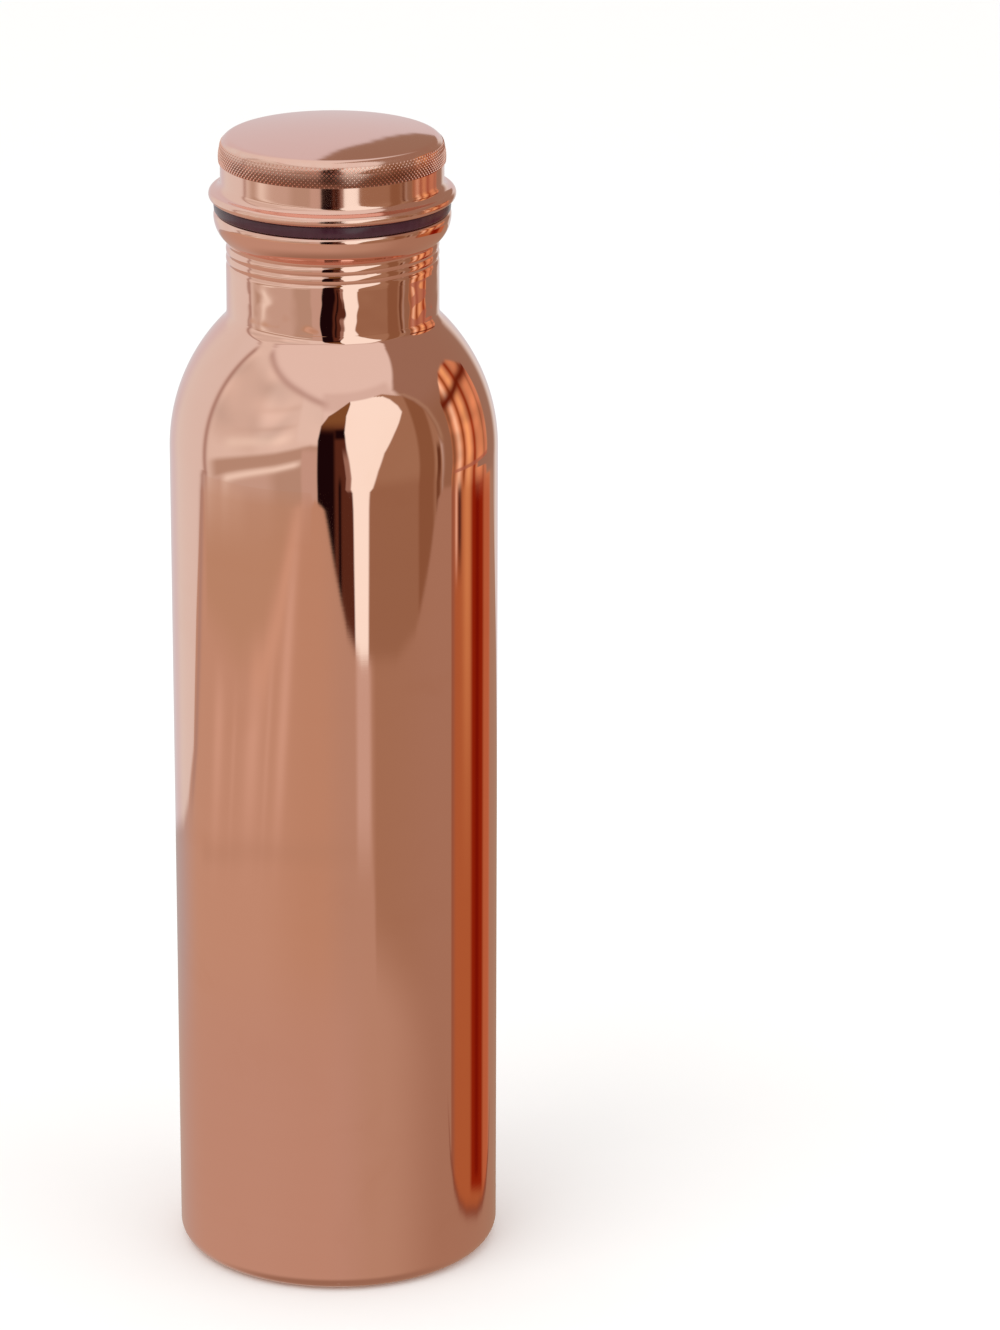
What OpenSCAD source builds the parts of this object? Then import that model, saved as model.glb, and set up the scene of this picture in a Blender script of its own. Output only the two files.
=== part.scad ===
// Spun copper water bottle with a screw-in cap and a silicone seal ring.
// Millimetres, +Z up, origin at the centre of the base, on the surface it stands on.

/* [Body] */
// Outside diameter of the straight barrel
body_d = 73; // [60:1:90]
// Height at which the barrel starts to curve into the shoulder
shoulder_z = 190; // [120:1:240]
// Radius of the shoulder's arc
shoulder_r = 41.5; // [36:0.5:60]
// Outside diameter of the neck
neck_d = 47; // [39:0.5:57]
// Radius of the hollow where the neck meets the shoulder
neck_root_r = 3.5; // [2:0.5:6]
// Straight height of the neck, from that hollow up to the lip
neck_h = 16; // [13:0.5:24]
// Thickness of the copper sheet of the body
body_wall = 0.6; // [0.5:0.05:1]
// Outside radius of the bottom edge
foot_round = 4; // [3:0.5:6]
// Width of the flat ring that the bottle stands on
foot_ring_w = 3; // [2:0.5:5]

/* [Lip] */
// How far the lip stands out from the neck
lip_reach = 2.65; // [2:0.05:3.5]
// Height of the lip's bulge, from the neck up to its widest point
lip_h = 5.6; // [4.5:0.1:7]
// Radius of the lip's upper edge
lip_edge_r = 0.9; // [0.5:0.1:1.2]
// Radius of the mouth's inner edge
mouth_round = 0.6; // [0.3:0.1:0.8]

/* [Base plate] */
// Height of the pressed-up middle of the base plate
base_rise = 3; // [1.5:0.5:8]
// Thickness of the base plate
base_t = 0.6; // [0.5:0.05:1.2]
// Width of the rim that is brazed to the foot
base_rim_w = 4.5; // [3.5:0.5:7]

/* [Thread] */
// Rise for each turn
thread_pitch = 2; // [1.8:0.1:3]
// Height of the thread above the wall that it is rolled in
thread_depth = 0.6; // [0.5:0.05:0.7]
// Turns rolled into the neck
neck_turns = 3; // [1.5:0.25:3.5]
// Turns rolled into the plug
plug_turns = 2.25; // [1:0.25:3]
// Radial gap between each thread and the wall opposite
thread_gap = 0.3; // [0.25:0.05:0.4]
// Distance from the lip down to the top of the neck's thread
thread_drop = 0.1; // [0:0.1:1.5]
// Depth of the crease that the rolling leaves outside the neck
crease_depth = 0.25; // [0.1:0.05:0.3]

/* [Seal ring] */
// Thickness of the seal ring
seal_t = 2.6; // [1.5:0.1:4]
// How far the seal ring's edge sits back from the lip's edge
seal_setback = 0.05; // [0:0.05:0.6]
// Radius of the seal ring's outer corners
seal_round = 0.5; // [0.2:0.1:0.7]
// Radial running gap between the seal ring and the plug
seal_gap = 0.05; // [0.02:0.01:0.1]

/* [Cap] */
// How far the cap's wall stands out from the neck
cap_step = 1.1; // [0.5:0.05:3]
// Height of the cap above the seal ring, up to the middle of its top
cap_h = 15.6; // [13:0.1:24]
// Rise of the domed top
cap_dome = 1.5; // [0.5:0.1:3]
// Radius of the cap's upper edge
cap_edge_r = 2.6; // [1.5:0.1:3.5]
// Thickness of the copper sheet of the cap
cap_wall = 0.6; // [0.5:0.05:0.8]
// How far the flange stands out from the cap's wall
flange_reach = 2.6; // [1.5:0.05:3]
// Radius of the flange's rolled edge
flange_edge_r = 1.15; // [0.8:0.05:1.4]
// Radius of the hollow between the cap's wall and its flange
flange_hollow_r = 2; // [1.5:0.5:4]
// Distance from the cap's highest point down to the grip band's lower edge
grip_drop = 7.4; // [6.5:0.1:8.5]
// Height of the grip band's bulge
grip_h = 3.6; // [2.5:0.1:4.5]
// How far the grip band stands out from the cap's wall
grip_proud = 0.2; // [0.1:0.05:0.5]

/* [Plug] */
// Thickness of the plug's sheet
plug_wall = 0.6; // [0.5:0.05:0.8]
// Depth of the plug below the mouth
plug_depth = 14; // [12:0.5:20]
// Outside radius of the plug's bottom edge
plug_round = 2; // [1:0.5:3]
// Width of the plug's rim, where it is brazed into the flange
plug_rim_w = 3.5; // [3:0.1:4]

/* [Hidden] */
$fn = 128;
facets_turn = 48;
dome_facets = 1024;
eps = 0.01;
over = 1;
copper = [0.80, 0.50, 0.38];
bright_copper = [0.86, 0.58, 0.46];
silicone = [0.20, 0.12, 0.18];

body_r = body_d / 2;
neck_r = neck_d / 2;
neck_in_r = neck_r - body_wall;

// centre of the shoulder's arc, and of the hollow that meets it and the neck
shoulder_x = body_r - shoulder_r;
root_x = neck_r + neck_root_r;
root_z = shoulder_z + sqrt(pow(shoulder_r + neck_root_r, 2) - pow(root_x - shoulder_x, 2));
root_dir = [root_x - shoulder_x, root_z - shoulder_z] / (shoulder_r + neck_root_r);

// the lip bulges out from the neck to its widest point, and rounds over to the mouth
lip_r = neck_r + lip_reach;
neck_top_z = root_z + neck_h;
lip_z = neck_top_z + lip_h;
lip_bulge_r = (pow(lip_h, 2) + pow(lip_reach, 2)) / (2 * lip_reach);
mouth_z = lip_z + lip_edge_r;

foot_flat_r = body_r - foot_round;
foot_hole_r = foot_flat_r - foot_ring_w;
plate_setback = 0.3;
plate_r = foot_flat_r - plate_setback;

// thread tips and the plug's wall, from the neck's bore inwards
thread_tip_w = 0.6;
thread_base_w = 1.1;
neck_tip_r = neck_in_r - thread_depth;
plug_r = neck_tip_r - thread_gap;
plug_tip_r = neck_in_r - thread_gap;
// how deep each thread is rooted in its wall
neck_root = (body_wall - crease_depth) / 2;
plug_root = plug_wall / 2;
thread_start = 3;
// share of a turn over which each end of a thread fades
thread_fade = 1 / 6;
thread_top_z = neck_top_z - thread_drop;
neck_thread_z = thread_top_z - neck_turns * thread_pitch;
plug_thread_z = neck_thread_z + thread_pitch / 2;

seal_r = lip_r - seal_setback;
seal_z = mouth_z + seal_t;

cap_r = neck_r + cap_step;
cap_top_z = seal_z + cap_h;
// centre of the domed top's arc and of the edge that meets it and the wall
dome_r = (pow(cap_r - cap_edge_r, 2) + pow(cap_dome, 2)) / (2 * cap_dome);
dome_z = cap_top_z - dome_r;
edge_x = cap_r - cap_edge_r;
edge_z = dome_z + sqrt(pow(dome_r - cap_edge_r, 2) - pow(edge_x, 2));
// centres of the flange's rolled edge and of the hollow above it
flange_x = cap_r + flange_reach - flange_edge_r;
flange_z = seal_z + flange_edge_r;
hollow_x = cap_r + flange_hollow_r;
hollow_z = flange_z + sqrt(pow(flange_hollow_r + flange_edge_r, 2) - pow(hollow_x - flange_x, 2));
// the grip band is the crown of a wide arc, cut off square at its lower edge
grip_r = (pow(grip_h / 2, 2) + pow(grip_proud, 2)) / (2 * grip_proud);
grip_z = cap_top_z - grip_drop + grip_h / 3;

plug_floor_z = mouth_z - plug_depth;
plug_rim_r = plug_r + plug_rim_w;

// Section of the barrel, shoulder and neck, drawn inset by the sheet's thickness
module vessel_outline(inset) {
    difference() {
        union() {
            translate([0, foot_round]) square([body_r - inset, shoulder_z - foot_round]);
            translate([0, inset]) square([foot_flat_r, foot_round - inset + eps]);
            intersection() {
                translate([foot_flat_r, foot_round]) circle(foot_round - inset);
                translate([foot_flat_r - eps, 0]) square([foot_round, foot_round + eps]);
            }
            intersection() {
                translate([shoulder_x, shoulder_z]) circle(shoulder_r - inset);
                translate([0, shoulder_z - eps]) square([body_r, root_z - shoulder_z]);
            }
            polygon([
                [0, shoulder_z],
                [shoulder_x, shoulder_z] + (shoulder_r - inset) * root_dir,
                [root_x, root_z],
                [0, root_z]
            ]);
            translate([0, root_z - eps]) square([neck_r - inset, mouth_z - root_z + eps]);
        }
        translate([root_x, root_z]) circle(neck_root_r + inset);
    }
}

// Section of the lip, from its lower edge on the neck up to the mouth
module lip_outline() {
    round_x = lip_r - lip_edge_r;
    intersection() {
        translate([lip_r - lip_bulge_r, lip_z]) circle(lip_bulge_r);
        translate([neck_in_r, neck_top_z]) square([lip_r - neck_in_r + over, lip_h]);
    }
    translate([neck_in_r, lip_z - eps]) square([round_x - neck_in_r, lip_edge_r + eps]);
    intersection() {
        translate([round_x, lip_z]) circle(lip_edge_r);
        translate([round_x - eps, lip_z - eps]) square([lip_edge_r + over, lip_edge_r + over]);
    }
}

// Material that is cut away to round the mouth's inner edge
module mouth_rounding() {
    difference() {
        translate([neck_in_r - over, mouth_z - mouth_round])
            square([mouth_round + over, mouth_round + over]);
        translate([neck_in_r + mouth_round, mouth_z - mouth_round]) circle(mouth_round);
    }
}

// Helical bead of four-sided section from root_r to tip_r, sinking into the root at both ends
module helix_bead(root_r, tip_r, root_w, tip_w, start_z, turns) {
    steps = round(turns * facets_turn);
    fade = facets_turn * thread_fade;
    function strength(i) = min(1, (i + 0.5) / fade, (steps - i + 0.5) / fade);
    function ring(i) = let (
        a = thread_start + 360 * i / facets_turn,
        z = start_z + thread_pitch * i / facets_turn,
        t = root_r + (tip_r - root_r) * strength(i),
        w = root_w + (tip_w - root_w) * strength(i)
    ) [
        for (c = [[root_r, -root_w / 2], [t, -w / 2], [t, w / 2], [root_r, root_w / 2]])
            [c[0] * cos(a), c[0] * sin(a), z + c[1]]
    ];
    points = [for (i = [0 : steps]) each ring(i)];
    outward = tip_r > root_r;
    sides = [
        for (i = [0 : steps - 1], k = [0 : 3])
            let (a = 4 * i + k, b = 4 * i + (k + 1) % 4, c = b + 4, d = a + 4)
            each [[a, b, c], [a, c, d]]
    ];
    last = 4 * steps;
    ends = [[0, 2, 1], [0, 3, 2], [last, last + 1, last + 2], [last, last + 2, last + 3]];
    function flip(faces) = [for (f = faces) [f[2], f[1], f[0]]];
    polyhedron(points, outward ? concat(sides, ends) : flip(concat(sides, ends)));
}

module body_shell() {
    color(copper)
    difference() {
        union() {
            rotate_extrude() difference() {
                union() {
                    vessel_outline(0);
                    lip_outline();
                }
                vessel_outline(body_wall);
                translate([0, mouth_z - over]) square([neck_in_r, 2 * over]);
                translate([0, -over]) square([foot_hole_r, body_wall + 2 * over]);
                mouth_rounding();
            }
            helix_bead(neck_in_r + neck_root, neck_tip_r, thread_base_w, thread_tip_w,
                neck_thread_z, neck_turns);
        }
        helix_bead(neck_r + neck_root, neck_r - crease_depth, thread_base_w, thread_tip_w / 2,
            neck_thread_z, neck_turns);
    }
}

module base_plate() {
    pan_r = plate_r - base_rim_w;
    color(copper)
    translate([0, 0, body_wall])
    rotate_extrude() difference() {
        union() {
            square([plate_r, base_t]);
            square([pan_r, base_rise]);
            square([pan_r - base_rise / 2, base_rise + base_t]);
            translate([pan_r - base_rise / 2, base_rise / 2 + base_t]) circle(base_rise / 2);
        }
        translate([0, -over]) square([pan_r - base_t, over]);
        square([pan_r - base_t, base_rise / 2 + base_t]);
        square([pan_r - base_rise / 2, base_rise]);
        translate([pan_r - base_rise / 2, base_rise / 2 + base_t]) circle(base_rise / 2 - base_t);
    }
}

module seal_ring() {
    inner_r = plug_r + seal_gap;
    color(silicone)
    rotate_extrude() union() {
        translate([inner_r, mouth_z]) square([seal_r - seal_round - inner_r, seal_t]);
        translate([inner_r, mouth_z + seal_round]) square([seal_r - inner_r, seal_t - 2 * seal_round]);
        for (z = [mouth_z + seal_round, seal_z - seal_round])
            translate([seal_r - seal_round, z]) circle(seal_round);
    }
}

// Cap without its flange and grip band, drawn inset by the sheet's thickness
module cap_outline(inset) {
    intersection() {
        translate([0, dome_z]) circle(dome_r - inset, $fn = dome_facets);
        translate([0, edge_z]) square([edge_x, cap_top_z - edge_z + over]);
    }
    intersection() {
        translate([edge_x, edge_z]) circle(cap_edge_r - inset);
        translate([edge_x - eps, edge_z - eps]) square([cap_edge_r + eps, cap_edge_r + eps]);
    }
    translate([0, seal_z]) square([cap_r - inset, edge_z - seal_z]);
}

// Section of the flange, from the cap's wall to its rolled edge
module flange_outline() {
    difference() {
        union() {
            polygon([
                [cap_r - cap_wall, seal_z],
                [flange_x, seal_z],
                [flange_x, flange_z],
                [hollow_x, hollow_z],
                [cap_r - cap_wall, hollow_z]
            ]);
            translate([flange_x, flange_z]) circle(flange_edge_r);
        }
        translate([hollow_x, hollow_z]) circle(flange_hollow_r);
    }
}

// Section of the raised band that the fingers grip
module grip_outline() {
    intersection() {
        translate([cap_r + grip_proud - grip_r, grip_z]) circle(grip_r);
        translate([cap_r - cap_wall / 2, cap_top_z - grip_drop]) square([over, grip_h]);
    }
}

module cap_shell() {
    color(bright_copper)
    rotate_extrude() difference() {
        union() {
            cap_outline(0);
            flange_outline();
            grip_outline();
        }
        cap_outline(cap_wall);
        translate([0, seal_z - over]) square([cap_r - cap_wall, 2 * over]);
        translate([0, seal_z - over]) square([plug_rim_r, plug_wall + over]);
    }
}

module threaded_plug() {
    color(bright_copper)
    union() {
        rotate_extrude() difference() {
            union() {
                translate([0, plug_floor_z + plug_round])
                    square([plug_r, seal_z - plug_floor_z - plug_round]);
                translate([0, plug_floor_z]) square([plug_r - plug_round, plug_round + eps]);
                translate([plug_r - plug_round, plug_floor_z + plug_round]) circle(plug_round);
                translate([0, seal_z]) square([plug_rim_r, plug_wall]);
            }
            translate([0, plug_floor_z + plug_round])
                square([plug_r - plug_wall, seal_z + over - plug_floor_z - plug_round]);
            translate([0, plug_floor_z + plug_wall])
                square([plug_r - plug_round, plug_round - plug_wall + eps]);
            translate([plug_r - plug_round, plug_floor_z + plug_round]) circle(plug_round - plug_wall);
        }
        helix_bead(plug_r - plug_root, plug_tip_r, thread_base_w, thread_tip_w,
            plug_thread_z, plug_turns);
    }
}

body_shell();
base_plate();
seal_ring();
cap_shell();
threaded_plug();
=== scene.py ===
import math

import bmesh
import bpy
import numpy as np
from mathutils import Matrix, Vector


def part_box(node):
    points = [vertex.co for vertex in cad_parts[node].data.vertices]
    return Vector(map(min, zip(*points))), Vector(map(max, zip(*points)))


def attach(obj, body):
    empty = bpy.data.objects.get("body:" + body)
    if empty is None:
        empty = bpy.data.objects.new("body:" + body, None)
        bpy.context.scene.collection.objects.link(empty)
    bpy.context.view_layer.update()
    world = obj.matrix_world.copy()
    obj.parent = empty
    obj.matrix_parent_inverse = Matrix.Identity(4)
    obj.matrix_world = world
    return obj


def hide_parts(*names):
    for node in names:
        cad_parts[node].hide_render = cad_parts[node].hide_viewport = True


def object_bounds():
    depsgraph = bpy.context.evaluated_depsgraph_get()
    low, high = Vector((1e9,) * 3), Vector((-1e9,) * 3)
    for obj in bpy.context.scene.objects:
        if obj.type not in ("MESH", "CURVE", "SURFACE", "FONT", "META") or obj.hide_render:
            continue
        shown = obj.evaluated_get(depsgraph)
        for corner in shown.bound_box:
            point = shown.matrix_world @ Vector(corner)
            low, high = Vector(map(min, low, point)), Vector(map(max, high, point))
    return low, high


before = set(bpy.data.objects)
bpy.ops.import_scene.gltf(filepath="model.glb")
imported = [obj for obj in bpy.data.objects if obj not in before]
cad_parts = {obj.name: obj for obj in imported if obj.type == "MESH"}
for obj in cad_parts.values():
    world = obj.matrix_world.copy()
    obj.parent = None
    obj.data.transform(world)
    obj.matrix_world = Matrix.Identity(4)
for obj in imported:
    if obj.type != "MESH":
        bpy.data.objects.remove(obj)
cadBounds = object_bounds()
mm = 0.001
samePlace = 1e-6  # outline points nearer than this are one point
weldDistance = 0.002 * mm
scene = bpy.context.scene
print("frame loaded")


# camera

cameraSetup = {
    "place": (0.0371, -1.2857, 0.5815),
    "tilt": 19.022,  # degrees below the horizon
    "roll": 0.176,
    "lens": 163.4,
    "sensor": 36,
    "near": 0.05,
    "far": 60,
}


def makeCamera(setup):
    data = bpy.data.cameras.new("camera")
    data.lens = setup["lens"]
    data.sensor_width = setup["sensor"]
    data.clip_start, data.clip_end = setup["near"], setup["far"]
    camera = bpy.data.objects.new("camera", data)
    scene.collection.objects.link(camera)
    turn = Matrix.Rotation(math.radians(90 - setup["tilt"]), 4, "X")
    turn = turn @ Matrix.Rotation(math.radians(setup["roll"]), 4, "Z")
    camera.matrix_world = Matrix.Translation(setup["place"]) @ turn
    scene.camera = camera


makeCamera(cameraSetup)
print("camera placed")


# small helpers for node trees

def setInput(tree, socket, value):
    if isinstance(value, bpy.types.NodeSocket):
        tree.links.new(value, socket)
    else:
        socket.default_value = value


def addNode(tree, kind, values=None, **settings):
    node = tree.nodes.new(kind)
    for name, value in settings.items():
        setattr(node, name, value)
    for socket, value in (values or {}).items():
        setInput(tree, node.inputs[socket], value)
    return node


def calc(tree, operation, *values, clamp=False):
    # the math node serves shader and geometry trees alike
    node = addNode(tree, "ShaderNodeMath", dict(enumerate(values)), operation=operation, use_clamp=clamp)
    return node.outputs[0]


def times(tree, first, second):
    return calc(tree, "MULTIPLY", first, second)


def splitAxes(tree, place):
    return addNode(tree, "ShaderNodeSeparateXYZ", {0: place}).outputs


def joinAxes(tree, x, y, z):
    return addNode(tree, "ShaderNodeCombineXYZ", {"X": x, "Y": y, "Z": z}).outputs[0]


def stretch(tree, place, factors):
    return addNode(tree, "ShaderNodeVectorMath", {0: place, 1: factors}, operation="MULTIPLY").outputs[0]


def mapRange(tree, value, low, high, start=0.0, end=1.0, **settings):
    values = {"Value": value, "From Min": low, "From Max": high, "To Min": start, "To Max": end}
    return addNode(tree, "ShaderNodeMapRange", values, **settings).outputs[0]


def noise(tree, place, size, detail, more=None):
    values = {"Vector": place, "Scale": size, "Detail": detail, **(more or {})}
    return addNode(tree, "ShaderNodeTexNoise", values).outputs[0]


def bump(tree, height, depth, below=None):
    values = {"Height": height, "Distance": depth * mm}
    if below is not None:
        values["Normal"] = below
    return addNode(tree, "ShaderNodeBump", values).outputs[0]


def newGroup(name, kind, inputs, outputs):
    tree = bpy.data.node_groups.new(name, kind)
    for label, socketType, value in inputs:
        socket = tree.interface.new_socket(label, in_out="INPUT", socket_type=socketType)
        if value is not None:
            socket.default_value = value
    for label, socketType in outputs:
        tree.interface.new_socket(label, in_out="OUTPUT", socket_type=socketType)
    return tree, tree.nodes.new("NodeGroupInput").outputs, tree.nodes.new("NodeGroupOutput").inputs


floatSocket, intSocket = "NodeSocketFloat", "NodeSocketInt"
vectorSocket, geometrySocket = "NodeSocketVector", "NodeSocketGeometry"
materialSocket = "NodeSocketMaterial"


# shader groups that several finishes share

def buildSpunGrain():
    # fine rings left by spinning and polishing, round the axis on walls and tops alike
    tree, given, made = newGroup("spunGrain", "ShaderNodeTree", [
        ("Vector", vectorSocket, None), ("Rings", floatSocket, 2600.0), ("Drift", floatSocket, 18.0),
    ], [("Height", floatSocket), ("Mask", floatSocket)])
    place = splitAxes(tree, given["Vector"])
    squares = calc(tree, "ADD", calc(tree, "POWER", place["X"], 2.0), calc(tree, "POWER", place["Y"], 2.0))
    along = calc(tree, "SUBTRACT", place["Z"], calc(tree, "SQRT", squares))
    stretched = joinAxes(tree, times(tree, place["X"], given["Drift"]),
                         times(tree, place["Y"], given["Drift"]), times(tree, along, given["Rings"]))
    tree.links.new(noise(tree, stretched, 1.0, 3.0), made["Height"])
    tree.links.new(noise(tree, stretch(tree, stretched, (0.6, 0.6, 0.09)), 1.0, 2.0), made["Mask"])
    return tree


def buildSheetWaver():
    # the slow unevenness of hand-finished sheet, which bends reflections a little
    tree, given, made = newGroup("sheetWaver", "ShaderNodeTree", [
        ("Vector", vectorSocket, None), ("Size", floatSocket, 60.0),
    ], [("Height", floatSocket)])
    tree.links.new(noise(tree, given["Vector"], given["Size"], 1.0, {"Roughness": 0.35}), made["Height"])
    return tree


def buildTarnish():
    # faint handling marks: a soft mask of patches and a finer one of smears
    tree, given, made = newGroup("tarnish", "ShaderNodeTree", [
        ("Vector", vectorSocket, None), ("Size", floatSocket, 45.0), ("Spread", floatSocket, 0.5),
    ], [("Patches", floatSocket), ("Smears", floatSocket)])
    patches = noise(tree, given["Vector"], given["Size"], 4.0, {"Distortion": 0.6})
    limit = calc(tree, "ADD", given["Spread"], 0.22)
    soft = mapRange(tree, patches, given["Spread"], limit, interpolation_type="SMOOTHSTEP")
    smearPlace = stretch(tree, given["Vector"], (1.0, 1.0, 0.25))
    smears = noise(tree, smearPlace, times(tree, given["Size"], 7.0), 5.0)
    tree.links.new(soft, made["Patches"])
    tree.links.new(smears, made["Smears"])
    return tree


def buildRimWear():
    # bright rubbed metal or scuffs within Width of a given height, broken up by noise
    tree, given, made = newGroup("rimWear", "ShaderNodeTree", [
        ("Vector", vectorSocket, None), ("Height", floatSocket, 0.0), ("Width", floatSocket, 0.002),
    ], [("Mask", floatSocket)])
    up = splitAxes(tree, given["Vector"])["Z"]
    away = calc(tree, "ABSOLUTE", calc(tree, "SUBTRACT", up, given["Height"]))
    near = calc(tree, "SUBTRACT", 1.0, calc(tree, "DIVIDE", away, given["Width"]), clamp=True)
    broken = mapRange(tree, noise(tree, given["Vector"], 420.0, 4.0), 0.38, 0.62)
    tree.links.new(times(tree, near, broken), made["Mask"])
    return tree


groups = {
    "grain": buildSpunGrain(),
    "waver": buildSheetWaver(),
    "tarnish": buildTarnish(),
    "wear": buildRimWear(),
}
print("shader groups built")


# finishes

def startMaterial(name):
    material = bpy.data.materials.new(name)
    material.use_nodes = True
    tree = material.node_tree
    place = tree.nodes.new("ShaderNodeTexCoord").outputs["Object"]
    return material, tree, tree.nodes["Principled BSDF"], place


def linkShader(tree, shader, colour, rough, normal):
    for name, value in (("Base Color", colour), ("Roughness", rough), ("Normal", normal)):
        tree.links.new(value, shader.inputs[name])


def useGroup(tree, name, values):
    node = addNode(tree, "ShaderNodeGroup", node_tree=groups[name])
    for socket, value in values.items():
        setInput(tree, node.inputs[socket], value)
    return node.outputs


def mixColour(tree, share, first, second):
    given = [value if isinstance(value, bpy.types.NodeSocket) else (*value, 1) for value in (first, second)]
    return addNode(tree, "ShaderNodeMix", {0: share, 6: given[0], 7: given[1]}, data_type="RGBA").outputs[2]


dentFade = 3.0  # mm over which a band of dents dies out
# mm over which the painted shade between the knurl's studs comes in at the band's foot
valleyShadeStart = 0.05  # mm
satinSoft = 0.12  # spread of the change from wall to top, as a share of the upward normal


def makeCopper(name, look):
    material, tree, shader, place = startMaterial(name)
    grain = useGroup(tree, "grain", {"Vector": place, "Rings": look["rings"]})
    waver = useGroup(tree, "waver", {"Vector": place, "Size": look["waverSize"]})
    marks = useGroup(tree, "tarnish", {"Vector": place, "Size": look["markSize"],
                                       "Spread": look["markSpread"]})
    up = splitAxes(tree, place)["Z"]

    # mixes a colour in by a mask: real marks, grain and wear, and also the painted shade between the knurl's
    # studs
    def tintStainAndShade(colour, mask, kind):
        return mixColour(tree, times(tree, mask, look[kind + "Share"]), colour, look[kind + "Colour"])

    def roughen(rough, mask, kind):
        return calc(tree, "MULTIPLY_ADD", mask, look[kind + "Rough"], rough)

    def band(low, lowEnd, high, highEnd):
        starts = mapRange(tree, up, low * mm, lowEnd * mm)
        return times(tree, starts, mapRange(tree, up, high * mm, highEnd * mm))

    colour = tintStainAndShade(tintStainAndShade(look["colour"], marks["Patches"], "mark"), grain["Mask"], "grain")
    rough = roughen(look["rough"] - look["grainRough"] / 2, grain["Height"], "grain")
    rough = roughen(roughen(rough, marks["Smears"], "smear"), marks["Patches"], "mark")
    for height, width in look["wornRims"]:
        worn = useGroup(tree, "wear", {"Vector": place, "Height": height * mm, "Width": width * mm})["Mask"]
        colour, rough = tintStainAndShade(colour, worn, "worn"), roughen(rough, worn, "worn")
    if "valley" in look:  # painted shade between the studs of the knurl: the wall there is darkened where shade falls, and made rougher as duller metal
        low, high, soft = look["valley"]
        valleyShade = band(low, low + valleyShadeStart, high, high - soft)
        colour, rough = tintStainAndShade(colour, valleyShade, "valley"), roughen(rough, valleyShade, "valley")
    if "satinAbove" in look:  # a finer abrasive on the top than on the walls
        facing = splitAxes(tree, tree.nodes.new("ShaderNodeNewGeometry").outputs["Normal"])["Z"]
        top = mapRange(tree, facing, look["satinAbove"], look["satinAbove"] + satinSoft)
        rough = roughen(rough, top, "satin")
    normal = bump(tree, grain["Height"], look["grainDepth"])
    normal = bump(tree, waver["Height"], look["waverDepth"], normal)
    if "beaten" in look:  # a band of sheet left less even by forming
        low, high, size, depth = look["beaten"]
        dents = useGroup(tree, "waver", {"Vector": place, "Size": size})["Height"]
        normal = bump(tree, times(tree, dents, band(low - dentFade, low, high + dentFade, high)), depth, normal)
    linkShader(tree, shader, colour, rough, normal)
    shader.inputs["Metallic"].default_value = 1.0
    return material


def makeSilicone(name, look):
    material, tree, shader, place = startMaterial(name)
    marks = useGroup(tree, "tarnish", {"Vector": place, "Size": look["markSize"],
                                       "Spread": look["markSpread"]})
    waver = useGroup(tree, "waver", {"Vector": place, "Size": look["waverSize"]})
    share = times(tree, marks["Smears"], look["markShare"])
    colour = mixColour(tree, share, look["colour"], look["markColour"])
    rough = calc(tree, "MULTIPLY_ADD", marks["Smears"], look["smearRough"], look["rough"])
    skin = bump(tree, noise(tree, place, look["skinSize"], 3.0), look["skinDepth"])
    linkShader(tree, shader, colour, rough, bump(tree, waver["Height"], look["waverDepth"], skin))
    return material


polishedCopper = {
    "colour": (0.95, 0.60, 0.52),
    "rough": 0.015, "grainRough": 0.006, "grainDepth": 0.00012, "rings": 2600.0,
    "grainColour": (0.93, 0.565, 0.475), "grainShare": 0.35,
    "waverSize": 42.0, "waverDepth": 0.012,
    "markSize": 38.0, "markSpread": 0.55, "markShare": 0.25, "markColour": (0.86, 0.49, 0.38),
    "markRough": 0.008, "smearRough": 0.008,
    "wornRims": [], "wornShare": 0.5, "wornColour": (0.97, 0.70, 0.62), "wornRough": 0.10,
}
print("finishes ready")


# outlines: lists of (points, inside, thread), from the frame's boxes and each piece's own sizes

plainWall = (0.0, 1.0, 2.0)  # thread depth, crest width and foot width, for rows with no thread


def outerPart(points, shape=plainWall):
    return points, False, shape


def innerPart(points, shape=plainWall):
    return points, True, shape


def arc(centre, radius, start, end, steps):
    turn = np.radians(np.linspace(start, end, steps + 1))
    return np.column_stack([centre[0] + radius * np.cos(turn), centre[1] + radius * np.sin(turn)])


def line(start, end, steps=1):
    return np.linspace(start, end, steps + 1)


def bearing(fromPoint, toPoint):
    return math.degrees(math.atan2(toPoint[1] - fromPoint[1], toPoint[0] - fromPoint[0]))


def boxOf(node):
    low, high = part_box(node)
    return {"bottom": low.z / mm, "top": high.z / mm, "radius": high.x / mm}


thread = {
    "pitch": 2.0,
    "startAngle": 3.0,
    "depth": 0.6,
    "crease": 0.25,  # what the rolling leaves outside the neck
    "crest": 0.6,
    "creaseCrest": 0.1,
    "foot": 1.1,
    "neckTurns": 3.0,
    "plugTurns": 2.25,
    "drop": 0.1,
    "rowStep": 0.13,
    "fadeShare": 6.0,  # one turn divided by the run-out at each end
}

shell = {
    "wall": 0.6,
    "footRound": 4.0,
    "footRing": 3.0,
    "shoulderArc": 41.5,
    "neckRadius": 23.5,
    "neckRootArc": 3.5,
    "neckHeight": 16.0,
    "lipReach": 2.65,
    "lipHeight": 5.6,
    "lipEdge": 0.9,
    "mouthRound": 0.6,
    "segments": 240,
}


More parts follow.
